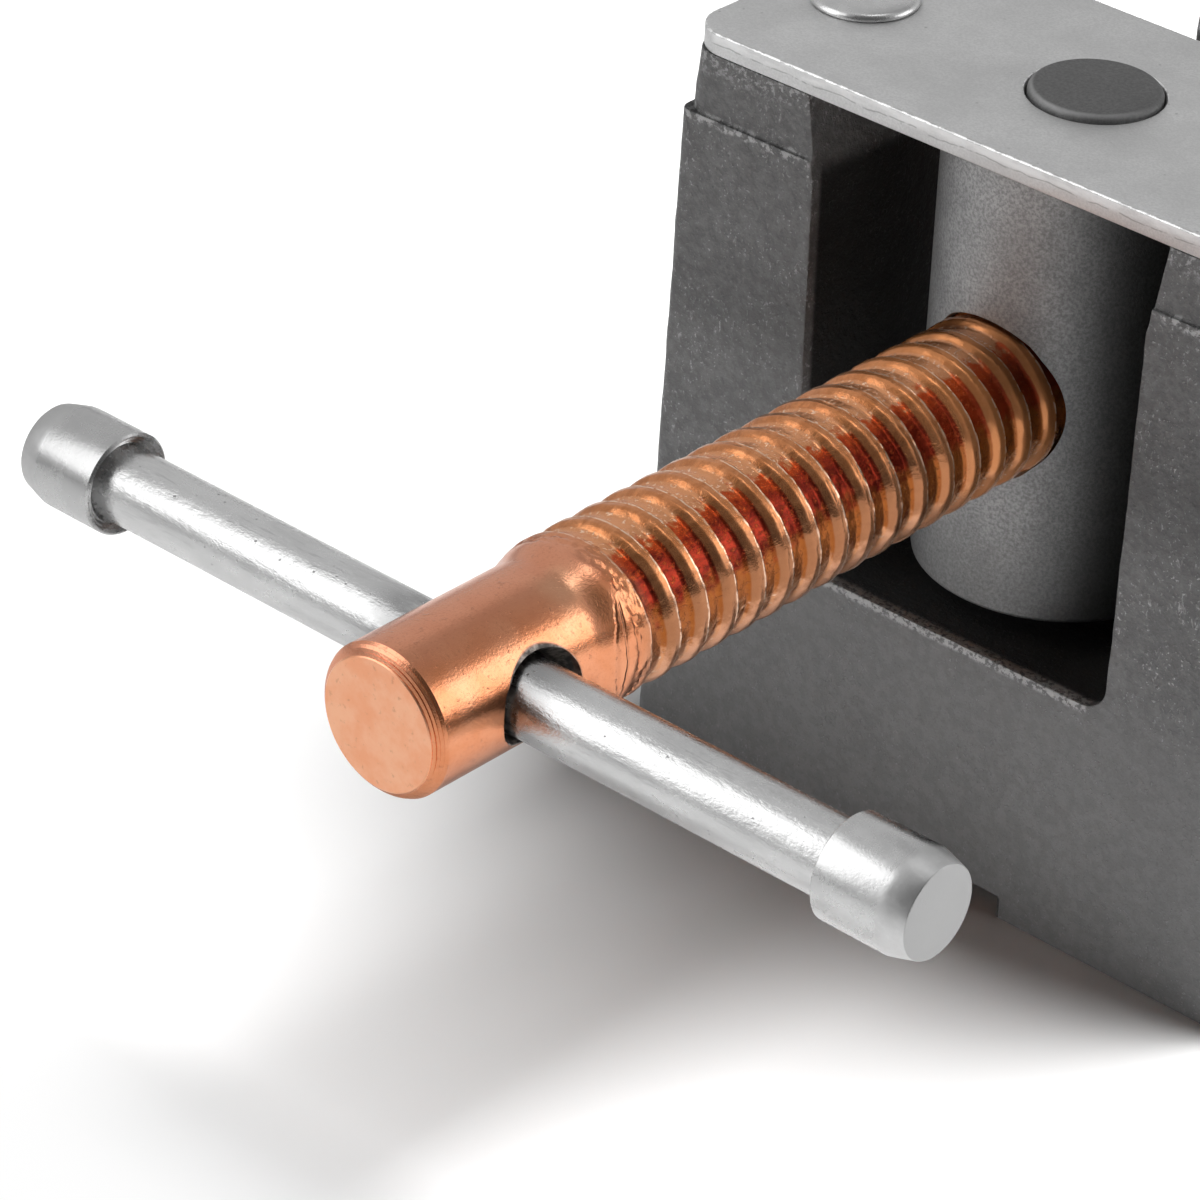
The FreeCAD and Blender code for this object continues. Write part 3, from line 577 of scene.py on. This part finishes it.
def make_cover(node, name, body):
    """A sheared sheet cover: soft lower edge, bright ragged burr along the top edge."""
    bm = copy_of(node)
    top = max(vert.co.z for vert in bm.verts)
    burr = soften(bm, 0.2, 2, 40.0, lambda p: p.z > top - 0.01)
    for face in burr:
        face.material_index = 1
    soften(bm, 0.2, 2, 40.0, lambda p: p.z < top - 1.5)
    put(bm, 0, 0, 0)
    piece = as_object(name, bm, finishes["zinc_plate"], finishes["zinc_edge"])
    return stand_for(piece, node, body)


def recess_bar(radius, depth):
    """One tapered arm of the cross that a screwdriver goes in, as a closed shape to cut with."""
    bm = bmesh.new()
    made = bmesh.ops.create_cube(bm, size=1.0)["verts"]
    bmesh.ops.scale(bm, vec=(radius * 2, radius * 0.4, depth * 2), verts=made)
    for vert in made:
        if vert.co.z < 0:
            vert.co.x *= 0.45
            vert.co.y *= 0.6
    return bm


# Head radius, height of the CAD screw's head, and shank radius
M6 = (6.0, 3.3, 3.0)
M5 = (4.75, 2.8, 2.5)


def make_screw(node, name, body, size, turn):
    """A screw with a low flat head and a cross recess, seated where the CAD screw is."""
    radius, height, shank = size
    low, high = (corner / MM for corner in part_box(node))
    x, y = (low.x + high.x) / 2, (low.y + high.y) / 2
    seat = high.z - height
    length = seat - low.z
    top = height * 0.3
    bm = lathe([(0, top), (radius * 0.55, top - 0.01), (radius - 0.75, top - 0.06),
                (radius - 0.35, top - 0.2), (radius - 0.05, top - 0.5), (radius, 0.25),
                (radius - 0.1, 0.0), (shank, 0.0), (shank, 0.6 - length), (shank - 0.6, -length),
                (0, -length)], 96)
    soften(bm, 0.15, 2, 20.0)
    put(bm, x, y, seat)
    piece = as_object(name, bm, finishes["zinc_caps"], smooth=50.0)
    for quarter in (0, 90):
        arm = recess_bar(radius * 0.56, 2.0)
        spot = Matrix.Rotation(math.radians(turn + quarter), 4, "Z")
        carve(piece, put(arm, x, y, seat + top, spot))
    return stand_for(piece, node, body)


def make_nut_barrel():
    """The turned nut, with its journals and the bore that the spindle runs in."""
    bm = lathe([(0, -41.1), (6.6, -41.1), (7.25, -40.5), (7.25, -24.9), (15.1, -24.9),
                (15.5, -24.5), (15.5, 26.9), (15.1, 27.3), (7.1, 27.3), (7.1, 30.25),
                (6.6, 30.75), (0, 30.8)], 128)
    soften(bm, 0.2, 3, 30.0)
    put(bm, 0, NUT_Y, AXIS_Z)
    piece = as_object("turned_nut_barrel", bm, finishes["dark_steel"])
    bore = lathe([(0, -20), (9.3, -20), (9.3, -14.6), (9.05, -14.1), (9.05, 14.1), (9.3, 14.6),
                  (9.3, 20), (0, 20)], 96)
    carve(piece, put(bore, 0, NUT_Y, AXIS_Z, UP_TO_Y))
    return stand_for(piece, "nut_barrel", "nut")


def smooth_step(value, low, high):
    """0 below low, 1 above high, and a soft step between."""
    part = min(1.0, max(0.0, (value - low) / (high - low)))
    return part * part * (3 - 2 * part)


def ridge(turn):
    """Height of the rolled thread across one pitch, from 0 at the root to about 1 at the lips."""
    off = (turn - 0.5) * 2
    if off < 0:
        return 1 - smooth_step(-off, 0.05, 0.72)
    lip = max(0.0, 1 - abs(off - 0.28) / 0.08)
    return 1 - smooth_step(off, 0.33, 0.52) + 0.07 * lip


HEAD_RINGS = [(0, -104.9), (6.85, -104.9), (6.97, -104.8), (6.90, -104.72), (7.28, -104.55),
              (7.20, -104.45), (7.55, -104.28), (7.48, -104.18), (7.80, -103.95),
              (7.74, -103.85), (8.0, -103.55), (8.0, -103.2)]
SHANK_END = [(8.8, 22.8), (7.0, 24.6), (7.0, 54.0), (6.7, 54.3), (5.0, 54.3), (5.0, 76.1),
             (4.2, 76.1), (4.2, 77.4), (5.0, 77.4), (5.0, 79.9), (4.5, 80.4), (0, 80.4)]


def steps(start, end, size):
    """Evenly spaced places from start to end."""
    return [start + size * count for count in range(int((end - start) / size) + 1)]


def spindle_profile():
    """The screw's outline before its thread is pressed in: plain shank, flare and crest."""
    plain = [(8.0, at) for at in steps(-102.8, THREAD_START - 4.4, 0.6)]
    crest = [(8.0 + smooth_step(at, -83.4, -78.8), at)
             for at in steps(THREAD_START - 4.0, THREAD_END + 0.6, 0.19)]
    return HEAD_RINGS + plain + crest + SHANK_END


def press_thread(bm):
    """Press the rolled thread into the turned bar, ragged where the metal folded over."""
    height = bm.verts.layers.float.new("thread_height")
    threaded = bm.verts.layers.float.new("threaded")
    for vert in bm.verts:
        along = vert.co.z
        reach = math.hypot(vert.co.x, vert.co.y)
        if not THREAD_START - 3 < along < THREAD_END + 2.8 or reach < 8.0:
            continue
        angle = math.atan2(vert.co.x, -vert.co.y)
        turn = (along - THREAD_START) / PITCH - angle / math.tau + THREAD_PHASE
        wobble = 0.035 * noise.noise(vert.co / 2.6) + 0.02 * noise.noise(vert.co / 0.8)
        rise = ridge((turn + wobble) % 1.0)
        cut = smooth_step(along - angle / math.tau * PITCH, THREAD_START - 1.2, THREAD_START + 3.6)
        cut *= 1 - smooth_step(along, THREAD_END - 1.0, THREAD_END + 2.5)
        crumbs = smooth_step(cut, 0.0, 0.15) * (1 - smooth_step(cut, 0.35, 0.8))
        rough = 0.05 * noise.noise(vert.co / 0.7) + 0.30 * crumbs * noise.noise(vert.co / 0.55)
        drop = THREAD_DEPTH * (1.05 - rise) * cut + rough * (cut + crumbs)
        scale = (reach - max(0.0, drop)) / reach
        vert.co.x *= scale
        vert.co.y *= scale
        vert[height] = rise
        vert[threaded] = cut


def make_spindle():
    """The screw: turned head, flare, rolled thread, neck and tip, then the T-bar's hole."""
    bm = lathe(spindle_profile(), 128)
    press_thread(bm)
    put(bm, 0, NUT_Y, AXIS_Z, UP_TO_Y)
    piece = as_object("copper_spindle", bm, finishes["copper"], smooth=32.0)
    hole = lathe([(0, -12), (5.0, -12), (5.0, -7.6), (4.5, -6.9), (4.5, 6.9), (5.0, 7.6),
                  (5.0, 12), (0, 12)], 96)
    carve(piece, put(hole, 0, BAR_Y, AXIS_Z, UP_TO_X))
    sink = lathe([(0, -9.5), (5.15, -9.5), (5.15, -7.0), (3.9, -5.2), (3.9, 5.2), (5.15, 7.0),
                  (5.15, 9.5), (0, 9.5)], 96)
    carve(piece, put(sink, 0, BAR_Y + SINK_ASIDE, AXIS_Z, UP_TO_X))
    return stand_for(piece, "spindle", "spindle")


def make_bar():
    """The T-bar and its two caps, which have a grooved mouth and a tapered end."""
    bm = lathe([(0, -55.6), (3.6, -55.6), (4.0, -55.2), (4.0, 55.2), (3.6, 55.6), (0, 55.6)], 96)
    soften(bm, 0.15, 2, 30.0)
    put(bm, BAR_X, BAR_Y, AXIS_Z, UP_TO_X)
    piece = as_object("drawn_bar", bm, finishes["zinc_bright"])
    stand_for(piece, "tommy_bar", "bar")

    for node, turn, mouth in (("tommy_bar_cap_left", UP_TO_MINUS_X, -48.55),
                              ("tommy_bar_cap_right", UP_TO_X, 45.75)):
        bm = lathe([(4.02, 8.5), (4.02, 0.95), (4.35, 0.62), (4.42, 0.68), (4.78, 0.30),
                    (4.85, 0.36), (5.15, 0.0), (5.3, 0.0), (5.5, 0.2), (5.5, 7.7), (5.36, 8.3),
                    (4.75, 10.5), (0, 10.5), (0, 8.5), (4.02, 8.5)], 96)
        soften(bm, 0.12, 2, 20.0, lambda p: p.z > 10.0 and math.hypot(p.x, p.y) > 4.1)
        put(bm, mouth, BAR_Y, AXIS_Z, turn)
        piece = as_object(node.replace("tommy_bar_", "") + "_turned", bm, finishes["zinc_caps"])
        stand_for(piece, node, "bar")


make_castings()
make_cover("nut_cover_plate", "nut_cover_sheet", "base")
make_cover("jaw_cover_plate", "jaw_cover_sheet", "jaw")
make_screw("nut_cover_screw_left", "cover_screw_left", "base", M6, 7.0)
make_screw("nut_cover_screw_right", "cover_screw_right", "base", M6, 17.0)
make_screw("jaw_cover_screw_left", "jaw_screw_left", "jaw", M5, 31.0)
make_screw("jaw_cover_screw_right", "jaw_screw_right", "jaw", M5, 74.0)
make_nut_barrel()
make_spindle()
make_bar()

for node, slot in (("swivel_barrel", "dark_steel"), ("thrust_washer", "spring_steel"),
                   ("spindle_retaining_ring", "spring_steel")):
    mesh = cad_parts[node].data
    mesh.materials.clear()
    mesh.materials.append(finishes[slot])


def make_floor():
    bm = bmesh.new()
    bmesh.ops.create_grid(bm, x_segments=1, y_segments=1, size=6.0)
    piece = as_object("floor", bm, floor_paper())


def softbox(name, direction, distance, wide, tall, radiance, matt=True, shiny=True, aside=0.0):
    """A rectangular soft light that looks at the object, of the given brightness."""
    aim = Vector((0.0, -0.15, 0.06))
    direction = Vector(direction).normalized()
    lamp = bpy.data.lights.new(name, "AREA")
    lamp.shape = "RECTANGLE"
    lamp.size = wide
    lamp.size_y = tall
    lamp.energy = radiance * 4.0 * wide * tall
    holder = bpy.data.objects.new(name, lamp)
    holder.location = aim + direction * distance + Vector((aside, 0.0, 0.0))
    holder.rotation_mode = "QUATERNION"
    holder.rotation_quaternion = (-direction).to_track_quat("-Z", "Y")
    holder.visible_diffuse = matt
    holder.visible_glossy = shiny
    bpy.context.scene.collection.objects.link(holder)


def make_studio():
    """A grey room with a dark side, a white floor, and soft lights above, in front and behind."""
    world = bpy.data.worlds.new("studio")
    room = Recipe(world)
    way = room.node("ShaderNodeTexCoord", output="Generated")
    split = room.node("ShaderNodeSeparateXYZ", inputs={0: way}).socket.node
    x, y, z = (Signal(room, socket) for socket in split.outputs)

    def toward(direction):
        return room.node("ShaderNodeVectorMath", {"operation": "DOT_PRODUCT"},
                         {0: way, 1: Vector(direction).normalized()}, "Value")

    wall = room.mix(toward((0.0, 0.64, 0.77)).rise(0.86, 0.97), grey(0.60), grey(0.40))
    wall = room.mix(toward((0.60, -0.58, 0.55)).rise(0.50, 0.88), wall, grey(0.11))
    wall = room.mix(x.rise(0.45, 0.62) * z.rise(0.18, 0.10), wall, grey(0.12))
    seen = room.node("ShaderNodeLightPath", {}, None, "Is Camera Ray")
    glossy = room.node("ShaderNodeLightPath", {}, None, "Is Glossy Ray")
    colour = room.mix(glossy, grey(0.008), wall)
    colour = room.mix(seen, colour, grey(1.0))
    glow = room.node("ShaderNodeBackground", {}, {"Color": colour, "Strength": 1.0})
    room.finish_with(glow, "ShaderNodeOutputWorld")
    bpy.context.scene.world = world
    softbox("key_softbox", (-0.55, -0.60, 0.59), 1.5, 1.1, 1.4, 1.02, matt=False)
    softbox("back_softbox", (0.67, 0.64, 0.37), 1.5, 0.85, 0.80, 1.25)
    softbox("spot_softbox", (0.10, 0.20, 0.97), 1.5, 0.40, 0.40, 1.2, matt=False)
    softbox("overhead_softbox", (0.0, 0.44, 1.0), 1.5, 0.9, 1.0, 14.0, shiny=False, aside=0.42)
    softbox("front_softbox", (-0.2, -0.98, 0.0), 1.5, 1.6, 0.11, 9.5, shiny=False)
    bpy.context.scene.view_settings.view_transform = "Standard"


def make_camera():
    """The photograph's camera, from a fit to the clamp's edges."""
    around, above, roll = (math.radians(angle) for angle in (41.21, 31.51, 2.34))
    back = Vector((math.sin(around) * math.cos(above), -math.cos(around) * math.cos(above),
                   math.sin(above)))
    right = Vector((math.cos(around), math.sin(around), 0.0))
    up = back.cross(right)
    across = right * math.cos(roll) + up * math.sin(roll)
    upright = up * math.cos(roll) - right * math.sin(roll)
    lens = bpy.data.cameras.new("camera")
    lens.sensor_width = 36.0
    lens.lens = 155.54
    lens.clip_start = 0.02
    lens.clip_end = 50.0
    camera = bpy.data.objects.new("camera", lens)
    turned = Matrix((across, upright, back)).transposed().to_4x4()
    camera.matrix_world = Matrix.Translation((0.28185, -0.49904, 0.32229)) @ turned
    bpy.context.scene.collection.objects.link(camera)
    bpy.context.scene.camera = camera


make_floor()
make_studio()
make_camera()
